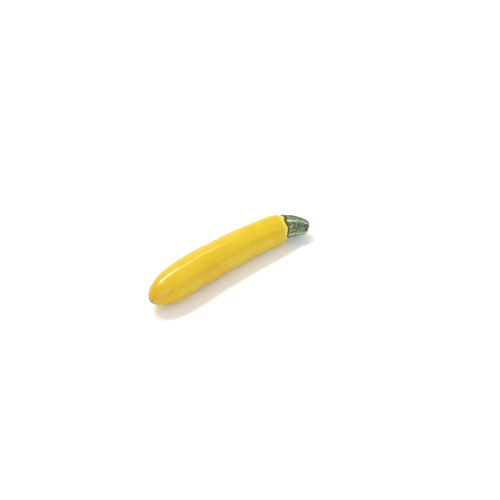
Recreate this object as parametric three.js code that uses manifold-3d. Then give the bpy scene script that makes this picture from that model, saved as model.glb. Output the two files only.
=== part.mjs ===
// A yellow zucchini, cut from its plant and lying on a level surface.
//
// Two pieces: the fruit, a club-shaped body on a bent centreline, and the stem, the five-angled
// stub of its stalk, which spreads over the shoulder and ends in a knife cut.
// Millimetres, +Z up. The blossom end points to -X, the stem to +X, and the surface is z = 0.

import * as THREE from 'three';
import { mergeVertices } from 'three/addons/utils/BufferGeometryUtils.js';
import Module from 'manifold-3d';

const wasm = await Module();
wasm.setup();

// Fruit, driving dimensions
const FRUIT_LENGTH = 182; // blossom tip to the top of the shoulder, along the centreline
const BELLY_RADIUS = 19; // the widest place
const BELLY_SHARE = 0.33; // where it lies, as a share of the length from the blossom tip
const NECK_RADIUS = 16.5; // the body's radius where the shoulder starts to close
const NECK_EXPONENT = 1.4; // above 1 the narrowing starts slowly
const BLOSSOM_THINNING = 0.4; // how much the body narrows from the belly to the blossom end
const BLOSSOM_CAP = 44; // length of the half ellipsoid that closes the blossom end
const SHOULDER_CAP = 15; // length of the rounded shoulder
const CROWN_RADIUS = 10.5; // the flat crown inside the shoulder, under the stem
const SCAR_RADIUS = 5; // the dimple that the flower leaves
const SCAR_DEPTH = 0.9;
const RIB_COUNT = 5; // shallow lengthwise ribs, which grow towards the stem
const RIB_HEIGHT = 0.12;
const NECK_RIB_HEIGHT = 0.35;
const BLOSSOM_HEADING = 17; // degrees from +X towards +Y, at the blossom tip
const BLOSSOM_REACH = 0.22; // length of the curve's handle there, as a share of the fruit
const CROWN_HEADING = -23; // degrees, at the crown
const CROWN_REACH = 0.13;
const CONTACT_DEPTH = 0.5; // how far the underside is flattened where it lies

// Stem, driving dimensions
const STEM_LENGTH = 26; // crown to the middle of the cut
const FOOT_RADIUS = 13.2;
const TIP_RADIUS = 5.6;
const FLARE_EXPONENT = 0.55; // below 1 the stem keeps its width longer
const STEM_ANGLES = 5; // ridges around the stem
const RIDGE_SHARE = 0.08; // ridge height as a share of the radius
const RIDGE_TURN = 40; // degrees from level to the first ridge
const FOOT_HEADING = -26; // degrees, where the stem leaves the crown
const TIP_HEADING = -36; // degrees, at the cut
const STEM_DROOP = 5; // how far the tip hangs below the crown's middle
const CUT_TURN = 6; // degrees that the cut faces further round than the stem
const CUT_LIFT = -20; // degrees that the cut faces upward, so this one faces down

const GAP = 0.3; // clearance between the stem and the fruit
const FRUIT_STEPS_AROUND = 40;
const STEM_STEPS_AROUND = 40;

const SKIN_YELLOW = 0xe2b71f;
const STEM_GREEN = 0x71805a;

const UP = new THREE.Vector3(0, 0, 1);

/** Unit vector in the level plane, turned from +X towards +Y. */
function levelDirection(degrees) {
  const angle = THREE.MathUtils.degToRad(degrees);
  return new THREE.Vector3(Math.cos(angle), Math.sin(angle), 0);
}

/** The fruit's centreline seen from above, from the blossom tip to the crown. */
function fruitCentreline() {
  const blossom = new THREE.Vector3(0, 0, 0);
  const crown = new THREE.Vector3(FRUIT_LENGTH, 0, 0);
  const afterBlossom = levelDirection(BLOSSOM_HEADING).multiplyScalar(FRUIT_LENGTH * BLOSSOM_REACH);
  const beforeCrown = levelDirection(CROWN_HEADING).multiplyScalar(-FRUIT_LENGTH * CROWN_REACH);
  return new THREE.CubicBezierCurve3(blossom, afterBlossom, beforeCrown.add(crown), crown);
}

/** Radius of the fruit's body, before its two ends are closed. */
function bodyRadius(share) {
  const toStem = Math.max(0, (share - BELLY_SHARE) / (1 - BELLY_SHARE));
  const toBlossom = Math.max(0, 1 - share / BELLY_SHARE);
  const narrowing = (BELLY_RADIUS - NECK_RADIUS) * toStem ** NECK_EXPONENT;
  return BELLY_RADIUS - narrowing - BLOSSOM_THINNING * toBlossom ** 2;
}

/** Height of the fruit's centreline, so that its whole underside lies on the surface. */
function bodyHeight(share) {
  return bodyRadius(share) - CONTACT_DEPTH;
}

/**
 * Half outline of the fruit as (radius, distance along), from axis to axis: the dimpled blossom
 * cap, the body, the shoulder and the crown. `swell` grows it on every side.
 */
function fruitOutline(swell) {
  const capSteps = 14;
  const bodySteps = 20;
  const shoulderSteps = 7;
  const shoulderStart = FRUIT_LENGTH - SHOULDER_CAP;
  const outline = [];
  for (let i = 0; i <= capSteps; i += 1) {
    const angle = (Math.PI / 2) * (i / capSteps);
    const along = BLOSSOM_CAP * (1 - Math.cos(angle));
    const radius = bodyRadius(along / FRUIT_LENGTH) * Math.sin(angle);
    const inScar = Math.min(1, radius / SCAR_RADIUS);
    const dimple = (SCAR_DEPTH / 2) * (1 + Math.cos(Math.PI * inScar));
    const across = i === 0 ? 0 : radius + swell;
    outline.push(new THREE.Vector2(across, along + dimple - swell * Math.cos(angle)));
  }
  for (let i = 1; i < bodySteps; i += 1) {
    const along = THREE.MathUtils.lerp(BLOSSOM_CAP, shoulderStart, i / bodySteps);
    outline.push(new THREE.Vector2(bodyRadius(along / FRUIT_LENGTH) + swell, along));
  }
  for (let i = 0; i <= shoulderSteps; i += 1) {
    const angle = (Math.PI / 2) * (i / shoulderSteps);
    const along = shoulderStart + SHOULDER_CAP * Math.sin(angle);
    const roundness = Math.cos(angle);
    const radius = THREE.MathUtils.lerp(CROWN_RADIUS, bodyRadius(along / FRUIT_LENGTH), roundness);
    outline.push(new THREE.Vector2(radius + swell * roundness, along + swell * Math.sin(angle)));
  }
  outline.push(new THREE.Vector2(0, FRUIT_LENGTH + swell));
  return outline;
}

/**
 * Revolves an outline and lays it along a curve: each point keeps its angle, and its radius and
 * distance along are turned into a place by `place(angle, radius, along)`.
 */
function loft(outline, stepsAround, place) {
  const geometry = new THREE.LatheGeometry(outline, stepsAround);
  const positions = geometry.getAttribute('position');
  const point = new THREE.Vector3();
  for (let i = 0; i < positions.count; i += 1) {
    point.fromBufferAttribute(positions, i);
    const radius = Math.hypot(point.x, point.z);
    const angle = radius > 0 ? Math.atan2(point.x, point.z) : 0;
    const placed = place(angle, radius, point.y);
    positions.setXYZ(i, placed.x, placed.y, placed.z);
  }
  return toSolid(geometry);
}

/** Turns a closed geometry into a solid, joined along its seam, with its faces pointing out. */
function toSolid(geometry) {
  geometry.deleteAttribute('normal');
  geometry.deleteAttribute('uv');
  const merged = mergeVertices(geometry, 1e-4);
  const corners = merged.getIndex().array;
  const triangles = [];
  for (let i = 0; i < corners.length; i += 3) {
    const [a, b, c] = corners.slice(i, i + 3);
    if (a !== b && b !== c && c !== a) {
      triangles.push(a, b, c);
    }
  }
  return new wasm.Manifold(new wasm.Mesh({
    numProp: 3,
    vertProperties: new Float32Array(merged.getAttribute('position').array),
    triVerts: new Uint32Array(triangles),
  }));
}

/** Turns a solid into a mesh of one node. */
function toNode(name, solid, color, roughness) {
  const { vertProperties, triVerts } = solid.getMesh();
  const geometry = new THREE.BufferGeometry();
  geometry.setAttribute('position', new THREE.BufferAttribute(vertProperties, 3));
  geometry.setIndex(new THREE.BufferAttribute(triVerts, 1));
  geometry.computeVertexNormals();
  const material = new THREE.MeshStandardMaterial({ color, roughness, metalness: 0 });
  const mesh = new THREE.Mesh(geometry, material);
  mesh.name = name;
  return mesh;
}

/** A point at an angle and radius around a curve's point, in the plane square to the curve. */
function aroundCurve(curve, share, angle, radius) {
  const centre = curve.getPointAt(THREE.MathUtils.clamp(share, 0, 1));
  const tangent = curve.getTangentAt(THREE.MathUtils.clamp(share, 0, 1));
  const side = new THREE.Vector3().crossVectors(UP, tangent).normalize();
  const top = new THREE.Vector3().crossVectors(tangent, side);
  const beyond = (share - THREE.MathUtils.clamp(share, 0, 1)) * curve.getLength();
  return centre
    .addScaledVector(tangent, beyond)
    .addScaledVector(side, radius * Math.cos(angle))
    .addScaledVector(top, radius * Math.sin(angle));
}

/** The whole fruit before its underside is flattened, grown by `swell` on every side. */
function fruitBody(swell) {
  const curve = fruitCentreline();
  return loft(fruitOutline(swell), FRUIT_STEPS_AROUND, (angle, radius, along) => {
    const share = along / FRUIT_LENGTH;
    const nearNeck = THREE.MathUtils.smoothstep(share, 0.5, 1);
    const ribHeight = THREE.MathUtils.lerp(RIB_HEIGHT, NECK_RIB_HEIGHT, nearNeck);
    const rib = ribHeight * Math.cos(RIB_COUNT * angle) * Math.min(1, radius / CROWN_RADIUS);
    const placed = aroundCurve(curve, share, angle, radius + rib);
    placed.z += bodyHeight(share);
    return placed;
  });
}

/** Half outline of the stem, from inside the fruit to past its cut. */
function stemOutline(start, end) {
  const steps = 12;
  const outline = [new THREE.Vector2(0, start)];
  for (let i = 0; i <= steps; i += 1) {
    const along = THREE.MathUtils.lerp(start, end, i / steps);
    const toTip = THREE.MathUtils.clamp(1 - along / STEM_LENGTH, 0, 1);
    const radius = TIP_RADIUS + (FOOT_RADIUS - TIP_RADIUS) * toTip ** FLARE_EXPONENT;
    outline.push(new THREE.Vector2(radius, along));
  }
  outline.push(new THREE.Vector2(0, end));
  return outline;
}

/** A block whose near face is the knife cut through the stem's tip. */
function cutBlock(tip) {
  const size = 4 * FOOT_RADIUS;
  const block = new THREE.BoxGeometry(size, size, size);
  const lift = THREE.MathUtils.degToRad(-CUT_LIFT);
  const turn = THREE.MathUtils.degToRad(TIP_HEADING - CUT_TURN);
  block.translate(size / 2, 0, 0);
  block.rotateY(lift);
  block.rotateZ(turn);
  block.translate(tip.x, tip.y, tip.z);
  return toSolid(block);
}

/** The stem, standing on the crown, cut to fit the shoulder and cut off at its tip. */
function stemBody() {
  const crown = fruitCentreline().getPointAt(1);
  crown.z = bodyHeight(1);
  const half = STEM_LENGTH / 2;
  const elbow = crown.clone().addScaledVector(levelDirection(FOOT_HEADING), half);
  const tip = elbow.clone().addScaledVector(levelDirection(TIP_HEADING), half);
  tip.z -= STEM_DROOP;
  const curve = new THREE.QuadraticBezierCurve3(crown, elbow, tip);
  const firstRidge = THREE.MathUtils.degToRad(RIDGE_TURN);
  const sunk = 5;
  const spare = 5;
  const whole = loft(
    stemOutline(-sunk, STEM_LENGTH + spare),
    STEM_STEPS_AROUND,
    (angle, radius, along) => {
      const ridge = RIDGE_SHARE * radius * Math.cos(STEM_ANGLES * (angle - firstRidge));
      return aroundCurve(curve, along / STEM_LENGTH, angle, radius + ridge);
    },
  );
  return whole.subtract(fruitBody(GAP)).subtract(cutBlock(tip));
}

/** Everything below the surface that the fruit lies on. */
function groundBlock() {
  const size = 3 * FRUIT_LENGTH;
  const block = new THREE.BoxGeometry(size, size, size);
  block.translate(0, 0, -size / 2);
  return toSolid(block);
}

const fruit = toNode('fruit', fruitBody(0).subtract(groundBlock()), SKIN_YELLOW, 0.3);
const stem = toNode('stem', stemBody(), STEM_GREEN, 0.65);

const zucchini = new THREE.Group();
zucchini.add(fruit, stem);

// The origin is under the middle of the whole object's box.
const box = new THREE.Box3().setFromObject(zucchini);
const middle = box.getCenter(new THREE.Vector3());
zucchini.position.set(-middle.x, -middle.y, -box.min.z);

export default zucchini;
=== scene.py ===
"""A yellow zucchini lying on its side on a pale studio floor.

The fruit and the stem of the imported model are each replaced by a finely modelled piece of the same
size in the same place, with a rind, a stalk and a knife cut that have their own finishes. Metres,
+Z up. The blossom end points to -X, and the stem to +X.
"""

import logging
import math
from dataclasses import dataclass, field
from enum import Enum

import bpy
import numpy as np
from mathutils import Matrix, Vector


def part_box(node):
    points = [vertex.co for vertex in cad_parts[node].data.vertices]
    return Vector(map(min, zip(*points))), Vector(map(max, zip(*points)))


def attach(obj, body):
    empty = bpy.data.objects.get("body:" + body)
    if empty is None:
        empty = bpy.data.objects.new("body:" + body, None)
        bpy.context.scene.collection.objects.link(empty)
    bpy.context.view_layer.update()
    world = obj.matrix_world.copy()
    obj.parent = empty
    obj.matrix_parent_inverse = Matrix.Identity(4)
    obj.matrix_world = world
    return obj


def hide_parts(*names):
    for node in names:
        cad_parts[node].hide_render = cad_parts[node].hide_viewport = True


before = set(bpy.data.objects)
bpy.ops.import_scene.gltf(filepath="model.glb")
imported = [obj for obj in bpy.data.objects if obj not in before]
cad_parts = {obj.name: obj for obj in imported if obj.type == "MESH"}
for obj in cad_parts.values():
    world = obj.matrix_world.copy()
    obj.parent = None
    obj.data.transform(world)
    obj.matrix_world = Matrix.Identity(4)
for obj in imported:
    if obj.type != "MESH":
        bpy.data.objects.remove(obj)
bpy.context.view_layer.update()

LOG = logging.getLogger("zucchini")
MM = 0.001
UP = np.array([0.0, 0.0, 1.0])
FULL_TURN = 2 * math.pi
BAKE_MAP = "OFBake"

Array = np.ndarray
Color = tuple[float, float, float, float]


class Blend(Enum):
    """How one colour is laid over another."""

    MIX = "MIX"
    MULTIPLY = "MULTIPLY"
    SCREEN = "SCREEN"


class Trait(Enum):
    """What each point of a mesh knows about itself, for the finishes to read."""

    STRAIGHT = "straight"
    SHOULDER = "shoulder"
    NECK = "neck"
    BLOSSOM = "blossom"
    CORK = "cork"
    # Painted shade: where a part lies in the gap under the stem's foot.
    CREVICE_SHADE = "crevice_shade"
    CREST = "crest"
    FOOT = "foot"
    TIP = "tip"
    RADIAL = "radial"
    BUNDLE = "bundle"


# ---------------------------------------------------------------------------------------------
# Curves, smooth steps and gentle unevenness
# ---------------------------------------------------------------------------------------------


def smooth(low: float, high: float, value: Array) -> Array:
    """Rises smoothly from 0 to 1.

    Args:
        low: Where it leaves 0.
        high: Where it reaches 1. It may be below low, and then it falls.
        value: Where it is read.

    Returns:
        The eased values, between 0 and 1.
    """
    t = np.clip((value - low) / (high - low), 0.0, 1.0)
    return t * t * (3 - 2 * t)


def bump(middle: float, width: float, value: Array) -> Array:
    """A bell-shaped hump of height 1.

    Args:
        middle: Where the hump is highest.
        width: Its half width at about a third of its height.
        value: Where it is read.

    Returns:
        The hump's height at each value.
    """
    return np.exp(-(((value - middle) / width) ** 2))


def level(degrees: float) -> Array:
    """Unit vector in the level plane, turned from +X towards +Y by degrees."""
    angle = math.radians(degrees)
    return np.array([math.cos(angle), math.sin(angle), 0.0])


@dataclass(frozen=True)
class Centreline:
    """A Bezier curve that is read by its share of the length."""

    handles: tuple[Array, ...]
    samples: int = 1200

    def point(self, t: Array, handles: tuple[Array, ...] | None = None) -> Array:
        """Reads the curve at its own parameter.

        Args:
            t: Parameter values from 0 to 1, in any shape.
            handles: The handles, if they aren't the curve's own.

        Returns:
            One point for each value, along a new last axis.
        """
        layer = [np.broadcast_to(h, t.shape + (3,)) for h in handles or self.handles]
        while len(layer) > 1:
            layer = [a + (b - a) * t[..., None] for a, b in zip(layer, layer[1:])]
        return layer[0]

    def length(self) -> float:
        """The curve's length."""
        steps = np.diff(self.point(np.linspace(0, 1, self.samples)), axis=0)
        return float(np.linalg.norm(steps, axis=1).sum())

    def frames(self, share: Array) -> tuple[Array, Array, Array, Array]:
        """Place and axes along the curve.

        Args:
            share: Shares of the length. Outside 0 to 1 the curve runs on straight.

        Returns:
            The points, and the unit vectors along, sideways and upward there.
        """
        t = np.linspace(0, 1, self.samples)
        steps = np.linalg.norm(np.diff(self.point(t), axis=0), axis=1)
        reached = np.concatenate([[0.0], np.cumsum(steps)])
        inside = np.clip(share, 0.0, 1.0)
        at = np.interp(inside * reached[-1], reached, t)
        spans = tuple(b - a for a, b in zip(self.handles, self.handles[1:]))
        along = self.point(at, spans)
        along = along / np.linalg.norm(along, axis=-1, keepdims=True)
        side = np.cross(UP, along)
        side = side / np.linalg.norm(side, axis=-1, keepdims=True)
        top = np.cross(along, side)
        beyond = ((share - inside) * reached[-1])[..., None]
        return self.point(at) + along * beyond, along, side, top

    def around(self, share: Array, angle: Array, radius: Array) -> Array:
        """Points at an angle and radius around the curve, with 90 degrees on top.

        Args:
            share: Shares of the length.
            angle: Angles in radians, from the side towards the top.
            radius: Distances from the curve.

        Returns:
            The points.
        """
        middle, _, side, top = self.frames(share)
        across = side * np.cos(angle)[..., None] + top * np.sin(angle)[..., None]
        return middle + across * radius[..., None]


@dataclass(frozen=True)
class Unevenness:
    """Soft irregular relief that closes on itself around a body."""

    seed: int
    wavelength: float
    girth: float
    waves: int = 14

    def __call__(self, along: Array, angle: Array) -> Array:
        """Height of the relief.

        Args:
            along: Distances along the body, in metres.
            angle: Angles around it, in radians.

        Returns:
            Heights with a spread of about 1.
        """
        draw = np.random.default_rng(self.seed)
        finest = max(1.0, self.girth / self.wavelength)
        height = np.zeros(np.broadcast(along, angle).shape)
        for _ in range(self.waves):
            around = round(draw.uniform(0, finest))
            pitch = draw.uniform(0.4, 1.0) * FULL_TURN / self.wavelength
            phase = draw.uniform(0, FULL_TURN)
            height += np.cos(around * angle + pitch * along * draw.choice([-1, 1]) + phase)
        return height / math.sqrt(self.waves / 2)


# ---------------------------------------------------------------------------------------------
# Meshes from grids of points
# ---------------------------------------------------------------------------------------------


@dataclass
class Skin:
    """A closed surface made of rings of points, from one pole to the other."""

    rings: Array
    traits: dict[Trait, Array] = field(default_factory=dict)

    def normals(self) -> Array:
        """Unit vectors pointing out of the surface at each point of the rings."""
        down = np.gradient(self.rings, axis=0)
        round_ = np.roll(self.rings, -1, axis=1) - np.roll(self.rings, 1, axis=1)
        out = np.cross(round_, down)
        size = np.linalg.norm(out, axis=-1, keepdims=True)
        return out / np.maximum(size, 1e-12)

    def raise_by(self, height: Array) -> None:
        """Moves each point out along the surface's own direction by height."""
        self.rings = self.rings + self.normals() * height[..., None]

    def reach(self) -> Array:
        """Mean distance travelled over the surface from the first ring, from 0 to 1."""
        steps = np.linalg.norm(np.diff(self.rings, axis=0), axis=-1).mean(axis=1)
        total = np.concatenate([[0.0], np.cumsum(steps)])
        return total / total[-1]

    def corners(self) -> list[tuple[int, ...]]:
        """Faces as lists of point numbers: two fans at the poles and quads between."""
        rows, steps = self.rings.shape[:2]
        first, last = rows * steps, rows * steps + 1
        faces = []
        for j in range(steps):
            faces.append((first, (j + 1) % steps, j))
        for i in range(rows - 1):
            for j in range(steps):
                a, b = i * steps + j, i * steps + (j + 1) % steps
                faces.append((a, b, b + steps, a + steps))
        for j in range(steps):
            bottom = (rows - 1) * steps
            faces.append((last, bottom + j, bottom + (j + 1) % steps))
        return faces

    def to_mesh(self, name: str, rows_v: Array) -> bpy.types.Mesh:
        """Makes the mesh, with its traits and its bake map.

        Args:
            name: The mesh's name.
            rows_v: Each ring's place in the bake map, from 0 to 1.

        Returns:
            The mesh.
        """
        rows, steps = self.rings.shape[:2]
        poles = np.stack([self.rings[0].mean(axis=0), self.rings[-1].mean(axis=0)])
        points = np.concatenate([self.rings.reshape(-1, 3), poles])
        mesh = bpy.data.meshes.new(name)
        mesh.from_pydata(points.tolist(), [], self.corners())
        for trait, values in self.traits.items():
            self.write_trait(mesh, trait, values)
        numbers = np.empty(len(mesh.loops), dtype=np.int64)
        mesh.loops.foreach_get("vertex_index", numbers)
        on_ring = numbers < rows * steps
        row = np.where(on_ring, numbers // steps, np.where(numbers == rows * steps, 0, rows - 1))
        v = rows_v[row]
        u = np.where(on_ring, (numbers % steps) / steps, 0.5 / steps)
        starts = np.empty(len(mesh.polygons), dtype=np.int64)
        sizes = np.empty(len(mesh.polygons), dtype=np.int64)
        mesh.polygons.foreach_get("loop_start", starts)
        mesh.polygons.foreach_get("loop_total", sizes)
        for start, size in zip(starts, sizes):
            corner = slice(start, start + size)
            if u[corner].max() - u[corner].min() > 0.5:
                u[corner] = np.where(u[corner] < 0.5, u[corner] + 1.0, u[corner])
            if size == 3:
                rim = u[corner][1:]
                u[start] = rim.mean()
                v[start] = 0.0 if v[start] < 0.5 else 1.0
        layer = mesh.uv_layers.new(name=BAKE_MAP)
        layer.data.foreach_set("uv", np.stack([u, v], axis=-1).astype(np.float32).ravel())
        mesh.shade_smooth()
        return mesh

    def write_trait(self, mesh: bpy.types.Mesh, trait: Trait, values: Array) -> None:
        """Stores one trait on the mesh.

        Args:
            mesh: The mesh.
            trait: Which trait it is.
            values: One number or one vector for each point of the rings.
        """
        poles = np.stack([values[0].mean(axis=0), values[-1].mean(axis=0)])
        if values.ndim == 3:
            flat = np.concatenate([values.reshape(-1, 3), poles])
            layer = mesh.attributes.new(trait.value, "FLOAT_VECTOR", "POINT")
            layer.data.foreach_set("vector", flat.astype(np.float32).ravel())
        else:
            flat = np.concatenate([values.reshape(-1), poles])
            layer = mesh.attributes.new(trait.value, "FLOAT", "POINT")
            layer.data.foreach_set("value", flat.astype(np.float32))


# ---------------------------------------------------------------------------------------------
# Shader nodes
# ---------------------------------------------------------------------------------------------

Socket = bpy.types.NodeSocket
Feed = Socket | float | tuple


class Desk:
    """Adds nodes to one tree and joins them."""

    def __init__(self, tree: bpy.types.NodeTree) -> None:
        """Works on tree."""
        self.tree = tree

    def node(self, kind: str, **settings: object) -> bpy.types.Node:
        """Adds a node.

        Args:
            kind: The node's type, without the word ShaderNode.
            settings: Its properties.

        Returns:
            The node.
        """
        node = self.tree.nodes.new(f"ShaderNode{kind}")
        for name, value in settings.items():
            setattr(node, name, value)
        return node

    def feed(self, socket: Socket, value: Feed) -> None:
        """Joins value to socket, or sets it there if it is a number or a colour."""
        if isinstance(value, bpy.types.NodeSocket):
            self.tree.links.new(value, socket)
        else:
            socket.default_value = value

    def trait(self, trait: Trait) -> Socket:
        """Reads a trait of the mesh.

        Args:
            trait: Which trait.

        Returns:
            The vector for the straightened place, and the number for any other trait.
        """
        node = self.node("Attribute", attribute_name=trait.value)
        return node.outputs["Vector" if trait is Trait.STRAIGHT else "Fac"]

    def maths(self, operation: str, a: Feed, b: Feed = 0.5, clamp: bool = False) -> Socket:
        """One step of arithmetic.

        Args:
            operation: The operation, as Blender names it.
            a: The first number.
            b: The second number.
            clamp: Whether the result is kept between 0 and 1.

        Returns:
            The result.
        """
        node = self.node("Math", operation=operation, use_clamp=clamp)
        self.feed(node.inputs[0], a)
        self.feed(node.inputs[1], b)
        return node.outputs[0]

    def mix(self, factor: Feed, under: Feed, over: Feed, blend: Blend = Blend.MIX) -> Socket:
        """Lays one colour over another.

        Args:
            factor: How much of the upper colour shows.
            under: The colour below.
            over: The colour on top.
            blend: How they are mixed.

        Returns:
            The mixed colour.
        """
        node = self.node("Mix", data_type="RGBA", blend_type=blend.value)
        self.feed(node.inputs[0], factor)
        self.feed(node.inputs[6], under)
        self.feed(node.inputs[7], over)
        return node.outputs[2]

    def span(self, value: Feed, low: Feed, high: Feed, to_low: Feed = 0.0, to_high: Feed = 1.0) -> Socket:
        """Turns one range of numbers smoothly into another.

        Args:
            value: The number.
            low: Where the first range starts.
            high: Where it ends.
            to_low: What its start becomes.
            to_high: What its end becomes.

        Returns:
            The new number.
        """
        node = self.node("MapRange", interpolation_type="SMOOTHSTEP")
        for socket, fed in zip(node.inputs[:5], (value, low, high, to_low, to_high)):
            self.feed(socket, fed)
        return node.outputs[0]

    def stretch(self, vector: Socket, scale: tuple[float, float, float]) -> Socket:
        """Scales a place along its axes.

        Args:
            vector: The place.
            scale: The factor on each axis.

        Returns:
            The scaled place.
        """
        node = self.node("Mapping")
        self.feed(node.inputs["Vector"], vector)
        node.inputs["Scale"].default_value = scale
        return node.outputs[0]

    def noise(self, vector: Socket, scale: Feed, detail: float = 3.0, roughness: float = 0.5) -> Socket:
        """Cloudy noise.

        Args:
            vector: Where it is read.
            scale: Its fineness.
            detail: How many finer layers it has.
            roughness: How strong they are.

        Returns:
            Its value, mostly between 0.3 and 0.7.
        """
        node = self.node("TexNoise")
        self.feed(node.inputs["Vector"], vector)
        self.feed(node.inputs["Scale"], scale)
        node.inputs["Detail"].default_value = detail
        node.inputs["Roughness"].default_value = roughness
        return node.outputs[0]

    def use(self, effect: bpy.types.NodeTree, output: str, **inputs: Feed) -> Socket:
        """Places a shared effect.

        Args:
            effect: The group.
            output: The name of the output that is wanted.
            inputs: Its inputs by name, with _ for each space.

        Returns:
            That output.
        """
        node = self.node("Group", node_tree=effect)
        for name, value in inputs.items():
            self.feed(node.inputs[name.replace("_", " ")], value)
        return node.outputs[output]


class Effects:
    """The shader effects that several finishes share, each built once as a node group."""

    def __init__(self) -> None:
        """Builds every effect."""
        self.speckle = self.build_speckle()
        self.streak = self.build_streak()
        self.mottle = self.build_mottle()
        self.scuff = self.build_scuff()

    def start(self, name: str, numbers: dict[str, float]) -> tuple[Desk, bpy.types.Node, bpy.types.Node]:
        """Starts a group with a Vector input, some numbers and a Mask output.

        Args:
            name: The group's name.
            numbers: Its number inputs and their usual values.

        Returns:
            Its desk, its input node and its output node.
        """
        tree = bpy.data.node_groups.new(name, "ShaderNodeTree")
        tree.interface.new_socket("Vector", in_out="INPUT", socket_type="NodeSocketVector")
        for label, value in numbers.items():
            socket = tree.interface.new_socket(label, in_out="INPUT", socket_type="NodeSocketFloat")
            socket.default_value = value
        tree.interface.new_socket("Mask", in_out="OUTPUT", socket_type="NodeSocketFloat")
        return Desk(tree), tree.nodes.new("NodeGroupInput"), tree.nodes.new("NodeGroupOutput")

    def build_speckle(self) -> bpy.types.NodeTree:
        """Small round spots of uneven size, strewn evenly, some of them left out."""
        desk, into, out = self.start("speckle", {"Scale": 500.0, "Size": 0.3, "Left Out": 0.3})
        cells = desk.node("TexVoronoi", feature="F1")
        desk.feed(cells.inputs["Vector"], into.outputs["Vector"])
        desk.feed(cells.inputs["Scale"], into.outputs["Scale"])
        parts = desk.node("SeparateColor")
        desk.feed(parts.inputs[0], cells.outputs["Color"])
        size = desk.maths("MULTIPLY", into.outputs["Size"], desk.span(parts.outputs[0], 0, 1, 0.45, 1.25))
        core = desk.maths("MULTIPLY", size, 0.45)
        spot = desk.span(cells.outputs["Distance"], core, size, 1.0, 0.0)
        kept = desk.maths("GREATER_THAN", parts.outputs[1], into.outputs["Left Out"])
        desk.feed(out.inputs["Mask"], desk.maths("MULTIPLY", spot, kept))
        return desk.tree

    def build_streak(self) -> bpy.types.NodeTree:
        """Soft lines that run lengthwise, broken up along their way."""
        desk, into, out = self.start("streak", {"Scale": 300.0, "Low": 0.5, "High": 0.7})
        drawn_out = desk.stretch(into.outputs["Vector"], (0.06, 1.0, 1.0))
        lines = desk.noise(drawn_out, into.outputs["Scale"], 4.0, 0.55)
        desk.feed(out.inputs["Mask"], desk.span(lines, into.outputs["Low"], into.outputs["High"]))
        return desk.tree

    def build_mottle(self) -> bpy.types.NodeTree:
        """Cloudy patches with soft edges."""
        desk, into, out = self.start("mottle", {"Scale": 60.0, "Low": 0.4, "High": 0.6})
        clouds = desk.noise(into.outputs["Vector"], into.outputs["Scale"], 4.0, 0.55)
        desk.feed(out.inputs["Mask"], desk.span(clouds, into.outputs["Low"], into.outputs["High"]))
        return desk.tree

    def build_scuff(self) -> bpy.types.NodeTree:
        """Handling marks: thin scratches in a few rubbed places."""
        desk, into, out = self.start("scuff", {"Scale": 90.0, "Width": 0.02, "Amount": 0.5})
        bent = desk.node("VectorMath", operation="ADD")
        swirl = desk.node("TexNoise")
        desk.feed(swirl.inputs["Vector"], into.outputs["Vector"])
        swirl.inputs["Scale"].default_value = 25.0
        pull = desk.node("VectorMath", operation="SCALE")
        desk.feed(pull.inputs[0], swirl.outputs["Color"])
        pull.inputs["Scale"].default_value = 0.02
        desk.feed(bent.inputs[0], into.outputs["Vector"])
        desk.feed(bent.inputs[1], pull.outputs[0])
        lines = desk.noise(desk.stretch(bent.outputs[0], (0.35, 1.0, 1.0)), into.outputs["Scale"], 1.0)
        off = desk.maths("ABSOLUTE", desk.maths("SUBTRACT", lines, 0.5))
        line = desk.span(off, 0.0, into.outputs["Width"], 1.0, 0.0)
        rubbed = desk.noise(into.outputs["Vector"], 42.0, 2.0)
        least = desk.maths("SUBTRACT", 1.0, into.outputs["Amount"])
        place = desk.span(rubbed, least, desk.maths("ADD", least, 0.08))
        desk.feed(out.inputs["Mask"], desk.maths("MULTIPLY", line, place))
        return desk.tree


@dataclass(frozen=True)
class Finish:
    """A material with one glossy shader, whose colour, gloss and relief a subclass paints."""

    name: str
    roughness: float
    gloss: float
    relief: float

    def paint(self, desk: Desk, effects: Effects) -> tuple[Socket, Socket, Socket]:
        """Paints the finish.

        Args:
            desk: The material's desk.
            effects: The shared effects.

        Returns:
            The colour, the roughness and the height of the relief in metres.
        """
        raise NotImplementedError

    def build(self, effects: Effects) -> bpy.types.Material:
        """Makes the material.

        Args:
            effects: The shared effects.

        Returns:
            The material.
        """
        material = bpy.data.materials.new(self.name)
        material.use_nodes = True
        desk = Desk(material.node_tree)
        shader = material.node_tree.nodes["Principled BSDF"]
        color, roughness, height = self.paint(desk, effects)
        desk.feed(shader.inputs["Base Color"], color)
        desk.feed(shader.inputs["Roughness"], roughness)
        shader.inputs["Specular IOR Level"].default_value = self.gloss
        relief = desk.node("Bump")
        relief.inputs["Strength"].default_value = self.relief
        relief.inputs["Distance"].default_value = 1.0
        desk.feed(relief.inputs["Height"], height)
        desk.feed(shader.inputs["Normal"], relief.outputs[0])
        return material


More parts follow.
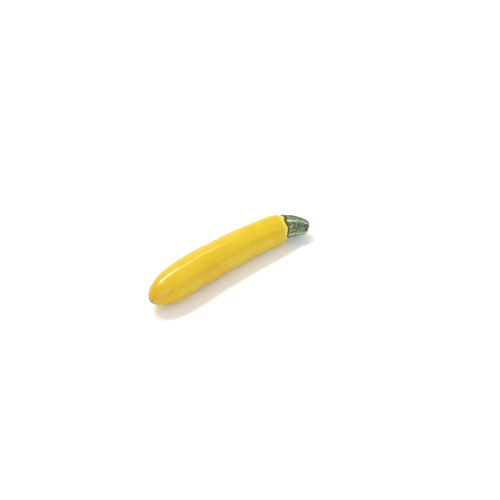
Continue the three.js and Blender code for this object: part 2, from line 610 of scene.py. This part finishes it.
@dataclass(frozen=True)
class RindFinish(Finish):
    """Waxy golden rind: clouded yellow, fine pale dots, faint lengthwise streaks and old scuffs, a pale
    shoulder that is partly painted highlight, and painted shade under the stem's foot.
    """

    golden: Color = (0.612, 0.395, 0.004, 1)
    lemon: Color = (0.705, 0.515, 0.010, 1)
    amber: Color = (0.585, 0.318, 0.008, 1)
    pale: Color = (0.82, 0.66, 0.10, 1)
    dot: Color = (0.80, 0.64, 0.09, 1)
    cork: Color = (0.38, 0.25, 0.10, 1)
    crevice_shade: Color = (0.16, 0.11, 0.01, 1)
    scratch: Color = (0.48, 0.27, 0.03, 1)

    def paint(self, desk: Desk, effects: Effects) -> tuple[Socket, Socket, Socket]:
        """Paints the rind.

        Args:
            desk: The material's desk.
            effects: The shared effects.

        Returns:
            The colour, the roughness and the height of the relief in metres.
        """
        place = desk.trait(Trait.STRAIGHT)
        clouds = desk.use(effects.mottle, "Mask", Vector=place, Scale=28.0, Low=0.36, High=0.68)
        neck = desk.trait(Trait.NECK)
        ripeness = desk.maths("ADD", desk.maths("MULTIPLY", clouds, 0.4), desk.maths("MULTIPLY", neck, 0.25))
        color = desk.mix(ripeness, self.golden, self.lemon)
        shadow = desk.use(effects.mottle, "Mask", Vector=place, Scale=75.0, Low=0.52, High=0.72)
        color = desk.mix(desk.maths("MULTIPLY", shadow, 0.14), color, self.amber)
        streaks = desk.use(effects.streak, "Mask", Vector=place, Scale=330.0, Low=0.48, High=0.72)
        color = desk.mix(desk.maths("MULTIPLY", streaks, 0.16), color, self.pale)
        blossom = desk.trait(Trait.BLOSSOM)
        color = desk.mix(desk.maths("MULTIPLY", blossom, 0.5), color, self.amber)
        # Pale shoulder around the stem: partly the rind's own paler ring, partly a painted highlight where
        # the shoulder catches the light.
        shoulder = desk.trait(Trait.SHOULDER)
        pale_ring_and_highlight = desk.span(desk.maths("ADD", shoulder, desk.maths("MULTIPLY", streaks, 0.2)), 0.25, 1.1)
        color = desk.mix(pale_ring_and_highlight, color, self.pale)
        dots = desk.use(effects.speckle, "Mask", Vector=place, Scale=560.0, Size=0.36, Left_Out=0.22)
        color = desk.mix(desk.maths("MULTIPLY", dots, 0.30), color, self.dot)
        specks = desk.use(effects.speckle, "Mask", Vector=place, Scale=95.0, Size=0.075, Left_Out=0.6)
        color = desk.mix(desk.maths("MULTIPLY", specks, 0.6), color, self.scratch)
        scuffs = desk.use(effects.scuff, "Mask", Vector=place, Scale=110.0, Width=0.006, Amount=0.4)
        color = desk.mix(desk.maths("MULTIPLY", scuffs, 0.45), color, self.scratch)
        cork = desk.trait(Trait.CORK)
        grain = desk.noise(place, 1500.0, 3.0)
        corky = desk.span(desk.maths("ADD", cork, desk.maths("MULTIPLY", grain, 0.5)), 0.6, 0.95)
        color = desk.mix(corky, color, self.cork)
        # Painted shade: the crown under the stem's foot is darkened where the foot's lip shades it.
        color = desk.mix(desk.trait(Trait.CREVICE_SHADE), color, self.crevice_shade)

        haze = desk.use(effects.mottle, "Mask", Vector=place, Scale=130.0, Low=0.35, High=0.7)
        roughness = desk.maths("ADD", self.roughness, desk.maths("MULTIPLY", haze, 0.07))
        roughness = desk.maths("ADD", roughness, desk.maths("MULTIPLY", dots, 0.06))
        roughness = desk.maths("ADD", roughness, desk.maths("MULTIPLY", scuffs, 0.3))
        roughness = desk.maths("ADD", roughness, desk.maths("MULTIPLY", corky, 0.5), clamp=True)

        pores = desk.maths("MULTIPLY", desk.noise(place, 900.0, 2.0), 0.035 * MM)
        height = desk.maths("ADD", pores, desk.maths("MULTIPLY", dots, 0.018 * MM))
        swell = desk.maths("MULTIPLY", desk.noise(place, 160.0, 2.0), 0.10 * MM)
        height = desk.maths("ADD", height, swell)
        height = desk.maths("SUBTRACT", height, desk.maths("MULTIPLY", scuffs, 0.05 * MM))
        rough_cork = desk.maths("MULTIPLY", desk.maths("MULTIPLY", corky, grain), 0.35 * MM)
        return color, roughness, desk.maths("ADD", height, rough_cork)


@dataclass(frozen=True)
class StalkFinish(Finish):
    """Rough green stalk: dark teal patches, grey-green faces, pale crests partly painted as highlights, fine
    ribs and painted shade at the foot.
    """

    green: Color = (0.10, 0.17, 0.06, 1)
    teal: Color = (0.022, 0.052, 0.03, 1)
    grey: Color = (0.37, 0.38, 0.26, 1)
    pale: Color = (0.64, 0.72, 0.50, 1)
    olive: Color = (0.05, 0.045, 0.008, 1)
    straw: Color = (0.62, 0.57, 0.36, 1)

    def paint(self, desk: Desk, effects: Effects) -> tuple[Socket, Socket, Socket]:
        """Paints the stalk.

        Args:
            desk: The material's desk.
            effects: The shared effects.

        Returns:
            The colour, the roughness and the height of the relief in metres.
        """
        place = desk.trait(Trait.STRAIGHT)
        patches = desk.use(effects.mottle, "Mask", Vector=place, Scale=170.0, Low=0.42, High=0.58)
        color = desk.mix(patches, self.teal, self.green)
        faces = desk.use(effects.mottle, "Mask", Vector=place, Scale=260.0, Low=0.50, High=0.62)
        foot = desk.trait(Trait.FOOT)
        greying = desk.maths("MULTIPLY", faces, desk.span(foot, 0.0, 1.0, 0.35, 0.9))
        color = desk.mix(greying, color, self.grey)
        ribs = desk.use(effects.streak, "Mask", Vector=place, Scale=900.0, Low=0.45, High=0.62)
        color = desk.mix(desk.maths("MULTIPLY", ribs, 0.45), color, self.grey)
        # Pale crests: the ridges are lightened towards pale green, partly their own paler edges and partly a
        # painted highlight along them.
        crest = desk.trait(Trait.CREST)
        broken = desk.noise(place, 520.0, 3.0)
        pale_and_lit_crest = desk.span(desk.maths("ADD", crest, broken), 1.22, 1.56)
        color = desk.mix(desk.maths("MULTIPLY", pale_and_lit_crest, 0.8), color, self.pale)
        dots = desk.use(effects.speckle, "Mask", Vector=place, Scale=900.0, Size=0.36, Left_Out=0.35)
        color = desk.mix(desk.maths("MULTIPLY", dots, 0.6), color, self.pale)
        stains = desk.use(effects.mottle, "Mask", Vector=place, Scale=420.0, Low=0.56, High=0.68)
        color = desk.mix(desk.maths("MULTIPLY", stains, 0.5), color, self.olive)
        color = desk.mix(desk.span(desk.trait(Trait.TIP), 0.35, 1.0, 0.0, 0.65), color, self.straw)
        # Painted shade: the underside of the foot and the lowest part of the wall turn dark olive where the
        # fruit's shoulder shades them.
        color = desk.mix(desk.trait(Trait.CREVICE_SHADE), color, self.olive)

        grain = desk.noise(place, 1300.0, 3.0)
        roughness = desk.maths("ADD", self.roughness, desk.maths("MULTIPLY", grain, 0.25), clamp=True)

        height = desk.maths("MULTIPLY", ribs, 0.16 * MM)
        height = desk.maths("ADD", height, desk.maths("MULTIPLY", dots, 0.10 * MM))
        height = desk.maths("ADD", height, desk.maths("MULTIPLY", grain, 0.10 * MM))
        pits = desk.maths("MULTIPLY", desk.noise(place, 420.0, 3.0), 0.30 * MM)
        return color, roughness, desk.maths("ADD", height, pits)


@dataclass(frozen=True)
class CutFinish(Finish):
    """Dried knife cut: a pale pith with pores, a ring of darker bundles and a browned green rim."""

    cream: Color = (0.68, 0.62, 0.46, 1)
    pith: Color = (0.78, 0.74, 0.62, 1)
    pink: Color = (0.50, 0.38, 0.29, 1)
    rim: Color = (0.27, 0.30, 0.13, 1)
    vein: Color = (0.27, 0.22, 0.09, 1)

    def paint(self, desk: Desk, effects: Effects) -> tuple[Socket, Socket, Socket]:
        """Paints the cut.

        Args:
            desk: The material's desk.
            effects: The shared effects.

        Returns:
            The colour, the roughness and the height of the relief in metres.
        """
        place = desk.trait(Trait.STRAIGHT)
        radial = desk.trait(Trait.RADIAL)
        stain = desk.use(effects.mottle, "Mask", Vector=place, Scale=330.0, Low=0.42, High=0.62)
        color = desk.mix(desk.maths("MULTIPLY", stain, 0.6), self.cream, self.pink)
        color = desk.mix(desk.span(radial, 0.25, 0.5, 0.75, 0.0), color, self.pith)
        pores = desk.use(effects.speckle, "Mask", Vector=place, Scale=2100.0, Size=0.42, Left_Out=0.2)
        color = desk.mix(desk.maths("MULTIPLY", pores, 0.4), color, self.pink)
        scoring = desk.use(effects.scuff, "Mask", Vector=place, Scale=320.0, Width=0.02, Amount=0.6)
        color = desk.mix(desk.maths("MULTIPLY", scoring, 0.25), color, self.pith)
        color = desk.mix(desk.maths("MULTIPLY", desk.trait(Trait.BUNDLE), 0.8), color, self.vein)
        uneven = desk.maths("MULTIPLY", desk.noise(place, 600.0, 2.0), 0.12)
        edge = desk.span(desk.maths("ADD", radial, uneven), 0.86, 1.04)
        color = desk.mix(edge, color, self.rim)

        roughness = desk.maths("ADD", self.roughness, desk.maths("MULTIPLY", stain, 0.15))
        height = desk.maths("MULTIPLY", desk.noise(place, 1100.0, 3.0), 0.16 * MM)
        height = desk.maths("SUBTRACT", height, desk.maths("MULTIPLY", pores, 0.08 * MM))
        return color, roughness, desk.maths("SUBTRACT", height, desk.maths("MULTIPLY", scoring, 0.05 * MM))


@dataclass(frozen=True)
class FloorFinish(Finish):
    """Matt white studio floor with a barely visible tooth."""

    tone: Color = (0.955, 0.955, 0.95, 1)
    worn: Color = (0.94, 0.94, 0.935, 1)

    def paint(self, desk: Desk, effects: Effects) -> tuple[Socket, Socket, Socket]:
        """Paints the floor.

        Args:
            desk: The material's desk.
            effects: The shared effects.

        Returns:
            The colour, the roughness and the height of the relief in metres.
        """
        place = desk.node("TexCoord").outputs["Object"]
        clouds = desk.use(effects.mottle, "Mask", Vector=place, Scale=3.0, Low=0.3, High=0.7)
        color = desk.mix(clouds, self.tone, self.worn)
        roughness = desk.maths("ADD", self.roughness, desk.maths("MULTIPLY", clouds, 0.05))
        return color, roughness, desk.maths("MULTIPLY", desk.noise(place, 700.0), 0.02 * MM)


# ---------------------------------------------------------------------------------------------
# The fruit
# ---------------------------------------------------------------------------------------------


@dataclass
class Fruit:
    """The golden fruit, from the blossom scar to the crown under the stem."""

    length: float = 182 * MM
    belly_radius: float = 19 * MM
    belly_share: float = 0.33
    neck_radius: float = 16.5 * MM
    neck_exponent: float = 1.4
    blossom_thinning: float = 0.4 * MM
    blossom_cap: float = 44 * MM
    shoulder_cap: float = 15 * MM
    crown_radius: float = 10.5 * MM
    scar_radius: float = 5 * MM
    scar_depth: float = 0.9 * MM
    rib_count: int = 5
    rib_height: float = 0.12 * MM
    neck_rib_height: float = 0.35 * MM
    blossom_heading: float = 17
    blossom_reach: float = 0.22
    crown_heading: float = -23
    crown_reach: float = 0.13
    contact_depth: float = 0.5 * MM
    steps_around: int = 220
    finish: Finish = field(
        default_factory=lambda: RindFinish("golden_rind", roughness=0.17, gloss=0.38, relief=1.0)
    )

    def centreline(self) -> Centreline:
        """The fruit's bent middle line, seen from above, with the blossom tip at the origin."""
        crown = np.array([self.length, 0.0, 0.0])
        after_blossom = level(self.blossom_heading) * self.length * self.blossom_reach
        before_crown = crown - level(self.crown_heading) * self.length * self.crown_reach
        return Centreline((np.zeros(3), after_blossom, before_crown, crown))

    def body_radius(self, share: Array) -> Array:
        """Radius of the body before its ends are closed, at each share of the length."""
        to_stem = np.maximum(0, (share - self.belly_share) / (1 - self.belly_share))
        to_blossom = np.maximum(0, 1 - share / self.belly_share)
        narrowing = (self.belly_radius - self.neck_radius) * to_stem**self.neck_exponent
        return self.belly_radius - narrowing - self.blossom_thinning * to_blossom**2

    def body_height(self, share: Array) -> Array:
        """Height of the middle line, so that the underside lies on the surface."""
        return self.body_radius(share) - self.contact_depth

    def outline(self) -> tuple[Array, Array]:
        """Half outline from the blossom tip to the crown.

        Returns:
            The radius and the distance along at each of its points.
        """
        cap = np.linspace(0.004, 1, 110) * math.pi / 2
        along = self.blossom_cap * (1 - np.cos(cap))
        radius = self.body_radius(along / self.length) * np.sin(cap)
        in_scar = np.minimum(1, radius / self.scar_radius)
        along = along + self.scar_depth / 2 * (1 + np.cos(math.pi * in_scar))
        shoulder_start = self.length - self.shoulder_cap
        body = np.linspace(self.blossom_cap, shoulder_start, 202)[1:-1]
        shoulder = np.linspace(0, 1, 52) * math.pi / 2
        over = shoulder_start + self.shoulder_cap * np.sin(shoulder)
        full = self.body_radius(over / self.length)
        closing = self.crown_radius + (full - self.crown_radius) * np.cos(shoulder)
        crown = np.linspace(self.crown_radius, 0.2 * MM, 16)[1:]
        return (
            np.concatenate([radius, self.body_radius(body / self.length), closing, crown]),
            np.concatenate([along, body, over, np.full(crown.shape, self.length)]),
        )

    def shoulder_along(self, radius: Array) -> Array:
        """Distance along at which the shoulder has a given radius."""
        full = self.body_radius(np.array(0.97))
        share = np.clip((radius - self.crown_radius) / (full - self.crown_radius), 0, 1)
        return self.length - self.shoulder_cap * (1 - np.sqrt(1 - share**2))

    def place(self, along: Array, angle: Array, radius: Array) -> Array:
        """Puts points of the straightened fruit in their place on the bent one.

        Args:
            along: Distances from the blossom tip.
            angle: Angles around the fruit.
            radius: Distances from its middle line.

        Returns:
            The points, with the blossom tip of the middle line over the origin.
        """
        share = along / self.length
        near_neck = smooth(0.5, 1, share)
        height = self.rib_height + (self.neck_rib_height - self.rib_height) * near_neck
        rib = height * np.cos(self.rib_count * angle) * np.minimum(1, radius / self.crown_radius)
        points = self.centreline().around(share, angle, radius + rib)
        points[..., 2] += self.body_height(share)
        return points

    def offset(self) -> Array:
        """How far the fruit's own origin lies from the frame's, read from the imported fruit's box."""
        low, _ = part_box("fruit")
        along, radius, angle = self.grid()
        bare = self.place(along, angle, radius)
        return np.array([low[0] - bare[..., 0].min(), low[1] - bare[..., 1].min(), 0.0])

    def grid(self) -> tuple[Array, Array, Array]:
        """Distance along, radius and angle of every point of the rings."""
        radius, along = self.outline()
        angle = np.arange(self.steps_around) * FULL_TURN / self.steps_around
        shape = (len(radius), self.steps_around)
        return (
            np.broadcast_to(along[:, None], shape),
            np.broadcast_to(radius[:, None], shape),
            np.broadcast_to(angle[None, :], shape),
        )

    def relief(self, along: Array, radius: Array, angle: Array) -> Array:
        """Height of the uneven surface over the plain one.

        Args:
            along: Distances from the blossom tip.
            radius: Distances from the middle line.
            angle: Angles around the fruit.

        Returns:
            Heights in metres.
        """
        girth = FULL_TURN * self.belly_radius
        at_tip = along < self.length / 2
        open_skin = np.minimum(1, radius / (12 * MM))
        swells = Unevenness(3, 46 * MM, girth)(along, angle) * 0.10 * MM
        ripples = Unevenness(8, 11 * MM, girth)(along, angle) * 0.012 * MM
        height = (swells + ripples) * open_skin
        wander = 0.10 * Unevenness(21, 60 * MM, girth)(along, angle)
        strands = np.cos(10 * (angle + wander))
        near_neck = smooth(0.72 * self.length, 0.97 * self.length, along)
        near_tip = smooth(34 * MM, 6 * MM, along) * smooth(3 * MM, 7 * MM, radius)
        height += strands * (0.11 * near_neck + 0.07 * near_tip) * MM * open_skin
        scar = np.where(at_tip, 1.0, 0.0)
        broken = 1 + 0.3 * Unevenness(14, 3 * MM, 20 * MM)(radius, angle)
        height += scar * bump(self.scar_radius * 0.78, 0.7 * MM, radius) * 0.26 * MM * broken
        height += scar * bump(0, 0.8 * MM, radius) * 0.55 * MM
        crumbs = Unevenness(5, 1.6 * MM, 5 * MM)(radius, angle)
        height += scar * smooth(4.4 * MM, 3.4 * MM, radius) * crumbs * 0.05 * MM
        groove = np.where(at_tip, 0.0, 1.0) * bump(14.2 * MM, 1.2 * MM, radius) * 0.35 * MM
        puckers = np.where(at_tip, 0.0, 1.0) * bump(15.2 * MM, 1.2 * MM, radius)
        height += puckers * near_neck * 0.14 * MM * np.cos(20 * angle + 3 * wander) - groove
        return height + self.dents(along, angle)

    def dents(self, along: Array, angle: Array) -> Array:
        """A few shallow knocks from handling, as heights below the skin."""
        draw = np.random.default_rng(17)
        height = np.zeros(along.shape)
        for _ in range(9):
            at = draw.uniform(0.16, 0.9) * self.length
            facing = draw.uniform(0, FULL_TURN)
            size = draw.uniform(2.2, 5.5) * MM
            around = np.angle(np.exp(1j * (angle - facing))) * self.belly_radius
            away = np.hypot((along - at) / 1.6, around)
            height -= bump(0, size, away) * draw.uniform(0.05, 0.16) * MM
        return height

    def traits(self, along: Array, radius: Array, angle: Array) -> dict[Trait, Array]:
        """What the rind's finish reads at every point.

        Args:
            along: Distances from the blossom tip.
            radius: Distances from the middle line.
            angle: Angles around the fruit.

        Returns:
            One array for each trait.
        """
        behind = along > self.length / 2
        scar = np.where(behind, 0.0, 1.0)
        ragged = Unevenness(12, 2.4 * MM, 16 * MM)(radius, angle) * 0.22 * MM
        ring = bump(self.scar_radius * 0.72, 0.6 * MM, radius + ragged)
        disc = smooth(3.9 * MM, 3.1 * MM, radius + ragged)
        return {
            Trait.STRAIGHT: np.stack([along, radius * np.cos(angle), radius * np.sin(angle)], axis=-1),
            Trait.SHOULDER: smooth(self.length - 13 * MM, self.length - 3 * MM, along),
            Trait.NECK: smooth(0.3 * self.length, 0.95 * self.length, along),
            Trait.BLOSSOM: smooth(30 * MM, 2 * MM, along),
            Trait.CORK: scar * np.maximum(0.56 * ring, 0.45 * disc + 0.2 * bump(0, 1.1 * MM, radius)),
            # Painted shade under the stem's foot, on the crown.
            Trait.CREVICE_SHADE: np.where(behind, 1.0, 0.0) * smooth(12.4 * MM, 11.2 * MM, radius),
        }

    def build(self) -> bpy.types.Object:
        """Models the fruit.

        Returns:
            The fruit's object, in place.
        """
        along, radius, angle = self.grid()
        skin = Skin(self.place(along, angle, radius), self.traits(along, radius, angle))
        rows = skin.reach()
        skin.raise_by(self.relief(along, radius, angle))
        skin.rings = skin.rings + self.offset()
        skin.rings[..., 2] = np.maximum(skin.rings[..., 2], 0.0)
        return bpy.data.objects.new("zucchini_fruit", skin.to_mesh("zucchini_fruit", rows))

    def dress(self, piece: bpy.types.Object, effects: Effects) -> None:
        """Gives the fruit its rind, and its place in the frame.

        Args:
            piece: The fruit's object.
            effects: The shared effects.
        """
        piece.data.materials.append(self.finish.build(effects))
        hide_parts("fruit")
        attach(piece, "root")


# ---------------------------------------------------------------------------------------------
# The stem
# ---------------------------------------------------------------------------------------------


@dataclass
class Stem:
    """The five-angled stub of the stalk, from its foot on the shoulder to the knife cut."""

    fruit: Fruit
    length: float = 26 * MM
    foot_radius: float = 13.2 * MM
    tip_radius: float = 5.6 * MM
    flare_exponent: float = 0.55
    ridge_count: int = 5
    ridge_share: float = 0.09
    ridge_turn: float = 40
    foot_heading: float = -26
    tip_heading: float = -36
    droop: float = 5 * MM
    cut_turn: float = 6
    cut_lift: float = -20
    lip_gap: float = 0.45 * MM
    collar: float = 0.5 * MM
    steps_around: int = 240
    wall_rows: int = 110
    cut_rows: int = 30
    stalk: Finish = field(
        default_factory=lambda: StalkFinish("green_stalk", roughness=0.48, gloss=0.35, relief=1.0)
    )
    cut: Finish = field(
        default_factory=lambda: CutFinish("dried_cut", roughness=0.62, gloss=0.3, relief=1.0)
    )

    def centreline(self) -> Centreline:
        """The stem's middle line, from the crown to the middle of the cut."""
        crown = np.array([self.fruit.length, 0.0, float(self.fruit.body_height(np.array(1.0)))])
        elbow = crown + level(self.foot_heading) * self.length / 2
        tip = elbow + level(self.tip_heading) * self.length / 2 - UP * self.droop
        return Centreline((crown, elbow, tip))

    def crest(self, angle: Array) -> Array:
        """How near each angle is to a ridge: 1 on its crest, -1 in the groove between two."""
        turn = angle - math.radians(self.ridge_turn)
        wave = 0.5 + 0.5 * np.cos(self.ridge_count * turn)
        return 2 * wave**1.5 - 1

    def wall(self, angle: Array) -> tuple[Array, Array, Array]:
        """The stem's side, from the lip of its foot to the cut.

        Args:
            angle: The angle of each step around.

        Returns:
            The radius, the distance along and the height share of every point.
        """
        height = np.linspace(0, 1, self.wall_rows)[:, None] ** 1.25
        round_ = angle[None, :]
        crest = self.crest(round_)
        size = self.tip_radius + (self.foot_radius - self.tip_radius) * (1 - height) ** self.flare_exponent
        strength = self.ridge_share * (1 - 0.45 * (1 - height) ** 4)
        radius = size * (1 + strength * crest)
        fine = np.cos(25 * round_ + 2.2 * np.sin(3 * round_)) + 0.6 * np.cos(40 * round_ + 1.0)
        radius = radius + fine * 0.09 * MM * smooth(0.0, 0.2, height)
        knots = Unevenness(31, 6 * MM, 60 * MM)(height * self.length, round_)
        radius = radius + knots * 0.13 * MM * smooth(0.03, 0.25, height)
        radius = radius + self.collar * np.exp(-height * self.length / (2.2 * MM))
        lip = self.fruit.shoulder_along(radius[0] - 0.4 * MM) - self.fruit.length + self.lip_gap
        along = lip[None, :] + (self.length - lip[None, :]) * height
        return radius, along, np.broadcast_to(height, radius.shape)

    def cut_normal(self) -> Array:
        """Direction in which the knife cut faces."""
        flat = level(self.tip_heading - self.cut_turn)
        lift = math.radians(self.cut_lift)
        return flat * math.cos(lift) + UP * math.sin(lift)

    def slice_off(self, points: Array, height: Array) -> Array:
        """Draws the wall out or in, so that it ends on the plane of the cut.

        Args:
            points: The wall's points.
            height: Each point's share of the stem's height.

        Returns:
            The moved points.
        """
        centre, along, _, _ = self.centreline().frames(np.array([1.0]))
        facing = self.cut_normal()
        short = ((centre[0] - points[-1]) @ facing) / float(along[0] @ facing)
        return points + along[0] * short[None, :, None] * height[..., None] ** 3

    def underside(self, lip_radius: Array, lip_along: Array) -> tuple[Array, Array]:
        """The hidden turn under the foot's lip, from inside the crown out to the lip.

        Args:
            lip_radius: Radius of the lip at each step around.
            lip_along: Distance along of the lip at each step around.

        Returns:
            The radius and the distance along of its rings.
        """
        radius, along = [], []
        for inward, drop in ((0.25, -2.0), (0.6, -2.0), (0.80, -1.4), (0.87, -0.35), (0.93, -0.02)):
            radius.append(lip_radius * inward)
            along.append(lip_along + drop * MM)
        radius.append(lip_radius - 0.28 * MM)
        along.append(lip_along - 0.04 * MM)
        return np.array(radius), np.array(along)

    def cut_face(self, rim: Array, angle: Array) -> tuple[Array, Array, Array]:
        """The knife cut, from inside its rim to its middle.

        Args:
            rim: The wall's last ring.
            angle: The angle of each step around.

        Returns:
            The points, how far out each lies from 0 to 1, and where the bundles are.
        """
        middle = rim.mean(axis=0)
        out = np.linspace(0.985, 0.02, self.cut_rows)[:, None]
        points = middle + (rim[None] - middle) * out[..., None]
        turn = angle[None, :] - math.radians(self.ridge_turn)
        wobble = 0.02 * np.cos(3 * angle[None, :] + 1)
        bundle = bump(0.66, 0.055, out + wobble) * (0.5 + 0.5 * np.cos(2 * self.ridge_count * turn)) ** 3
        grain = Unevenness(41, 2.2 * MM, 20 * MM)(out * self.tip_radius, angle[None, :])
        height = bump(0.93, 0.05, out) * 0.16 * MM + bundle * 0.22 * MM
        height = height - smooth(0.5, 0.15, out) * 0.75 * MM - smooth(0.9, 0.75, out) * 0.12 * MM
        height = height + grain * 0.07 * MM * smooth(1.0, 0.85, out)
        points = points + self.cut_normal() * height[..., None]
        return points, np.broadcast_to(out, bundle.shape), bundle

    def build(self) -> bpy.types.Object:
        """Models the stem.

        Returns:
            The stem's object, in place.
        """
        angle = np.arange(self.steps_around) * FULL_TURN / self.steps_around
        line = self.centreline()
        radius, along, height = self.wall(angle)
        under_radius, under_along = self.underside(radius[0], along[0])
        under_angle = np.broadcast_to(angle, under_radius.shape)
        wall_angle = np.broadcast_to(angle, radius.shape)
        under = line.around(under_along / self.length, under_angle, under_radius)
        wall = self.slice_off(line.around(along / self.length, wall_angle, radius), height)
        face, out, bundle = self.cut_face(wall[-1], angle)
        skin = Skin(np.concatenate([under, wall, face]))
        skin.traits = self.traits(angle, (under_radius, under_along), (radius, along, height), (out, bundle))
        rows = skin.reach()
        skin.rings = skin.rings + self.fruit.offset()
        piece = bpy.data.objects.new("zucchini_stem", skin.to_mesh("zucchini_stem", rows))
        cut_start = (len(under) + len(wall)) * self.steps_around
        numbers = np.arange(len(piece.data.polygons)) >= cut_start
        piece.data.polygons.foreach_set("material_index", numbers.astype(np.int32))
        return piece

    def traits(self, angle: Array, under: tuple, wall: tuple, face: tuple) -> dict[Trait, Array]:
        """What the stem's finishes read at every point.

        Args:
            angle: The angle of each step around.
            under: The underside's radius and distance along.
            wall: The wall's radius, distance along and height share.
            face: The cut's outward share and bundles.

        Returns:
            One array for each trait.
        """
        radius = np.concatenate([under[0], wall[0], face[0] * wall[0][-1]])
        along = np.concatenate([under[1], wall[1], np.full(face[0].shape, self.length)])
        height = np.concatenate([np.zeros(under[0].shape), wall[2], np.ones(face[0].shape)])
        round_ = np.broadcast_to(angle, radius.shape)
        none = np.zeros(under[0].shape)
        no_wall = np.zeros(wall[0].shape)
        # Painted shade: 1 under the foot, fading out over the lowest part of the wall.
        gap_shade = np.concatenate([np.ones(under[0].shape), smooth(0.15, 0.04, wall[2]), 0 * face[0]])
        return {
            Trait.STRAIGHT: np.stack([along, radius * np.cos(round_), radius * np.sin(round_)], axis=-1),
            Trait.CREST: self.crest(round_),
            Trait.FOOT: smooth(0.5, 0.05, height),
            Trait.TIP: smooth(0.9, 1.0, height),
            Trait.CREVICE_SHADE: gap_shade,
            Trait.RADIAL: np.concatenate([none, no_wall + 1, face[0]]),
            Trait.BUNDLE: np.concatenate([none, no_wall, face[1]]),
        }

    def dress(self, piece: bpy.types.Object, effects: Effects) -> None:
        """Gives the stem its two finishes, and its place in the frame.

        Args:
            piece: The stem's object.
            effects: The shared effects.
        """
        piece.data.materials.append(self.stalk.build(effects))
        piece.data.materials.append(self.cut.build(effects))
        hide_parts("stem")
        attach(piece, "root")


# ---------------------------------------------------------------------------------------------
# The studio
# ---------------------------------------------------------------------------------------------


@dataclass(frozen=True)
class Softbox:
    """A rectangular soft light that faces the zucchini."""

    name: str
    toward: tuple[float, float, float]
    distance: float
    width: float
    depth: float
    power: float

    def build(self, subject: Vector) -> bpy.types.Object:
        """Hangs the light.

        Args:
            subject: What it faces.

        Returns:
            The light's object.
        """
        light = bpy.data.lights.new(self.name, "AREA")
        light.shape = "RECTANGLE"
        light.size = self.width
        light.size_y = self.depth
        light.energy = self.power
        lamp = bpy.data.objects.new(self.name, light)
        away = Vector(self.toward).normalized()
        lamp.location = subject + away * self.distance
        lamp.rotation_euler = away.to_track_quat("Z", "Y").to_euler()
        lamp.visible_camera = False
        return lamp


@dataclass
class Studio:
    """The floor, the lights and the camera."""

    azimuth: float = -40.5
    elevation: float = 42.0
    distance: float = 1.1
    lens: float = 74.3
    aside: float = 23.2 * MM
    below: float = 4.3 * MM
    floor_size: float = 8.0
    sky: float = 0.74
    softboxes: tuple[Softbox, ...] = (
        Softbox("strip_softbox", (0.14, 0.51, 0.99), 1.14, 0.95, 0.14, 3.2),
        Softbox("blossom_softbox", (-0.05, 0.54, 0.99), 1.13, 0.62, 0.19, 5.6),
        Softbox("back_softbox", (0.4, 1.0, 0.45), 1.7, 1.6, 1.0, 2.0),
        Softbox("front_softbox", (-0.55, -0.95, 0.75), 2.0, 1.4, 1.4, 9.0),
    )
    finish: Finish = field(
        default_factory=lambda: FloorFinish("studio_floor", roughness=0.85, gloss=0.2, relief=1.0)
    )

    def back(self) -> Vector:
        """Direction from the zucchini to the camera."""
        azimuth, elevation = math.radians(self.azimuth), math.radians(self.elevation)
        flat = math.cos(elevation)
        return Vector((math.sin(azimuth) * flat, -math.cos(azimuth) * flat, math.sin(elevation)))

    def build_camera(self, subject: Vector) -> bpy.types.Object:
        """Sets up the camera, with the zucchini a little left of and below the view's middle.

        Args:
            subject: The zucchini's middle.

        Returns:
            The camera's object.
        """
        camera = bpy.data.objects.new("camera", bpy.data.cameras.new("camera"))
        camera.data.lens = self.lens
        turn = self.back().to_track_quat("Z", "Y")
        right = turn @ Vector((1, 0, 0))
        above = turn @ Vector((0, 1, 0))
        aim = subject + right * self.aside + above * self.below
        camera.location = aim + self.back() * self.distance
        camera.rotation_euler = turn.to_euler()
        return camera

    def build_floor(self, effects: Effects) -> bpy.types.Object:
        """Lays the floor under the zucchini.

        Args:
            effects: The shared effects.

        Returns:
            The floor's object.
        """
        half = self.floor_size / 2
        mesh = bpy.data.meshes.new("floor")
        corners = [(-half, -half, 0), (half, -half, 0), (half, half, 0), (-half, half, 0)]
        mesh.from_pydata(corners, [], [(0, 1, 2, 3)])
        mesh.materials.append(self.finish.build(effects))
        floor = bpy.data.objects.new("floor", mesh)
        return floor

    def light_world(self) -> bpy.types.World:
        """Surrounds the studio with even white light.

        Returns:
            The world.
        """
        world = bpy.data.worlds.new("studio")
        world.use_nodes = True
        background = world.node_tree.nodes["Background"]
        background.inputs["Color"].default_value = (1, 1, 1, 1)
        background.inputs["Strength"].default_value = self.sky
        return world


def main() -> None:
    """Builds the zucchini and the studio."""
    logging.basicConfig(level=logging.INFO, format="%(name)s: %(message)s")
    scene = bpy.context.scene
    effects = Effects()
    fruit = Fruit()
    for part in (fruit, Stem(fruit)):
        piece = part.build()
        scene.collection.objects.link(piece)
        part.dress(piece, effects)
        LOG.info("%s: %d faces", piece.name, len(piece.data.polygons))

    low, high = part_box("fruit")
    subject = Vector((0.0, 0.0, (low[2] + high[2]) / 2))
    studio = Studio()
    scene.world = studio.light_world()
    scene.collection.objects.link(studio.build_floor(effects))
    for softbox in studio.softboxes:
        scene.collection.objects.link(softbox.build(subject))
        LOG.info("%s hung", softbox.name)
    scene.camera = studio.build_camera(subject)
    scene.collection.objects.link(scene.camera)
    scene.view_settings.view_transform = "Standard"


if __name__ == "__main__":
    main()
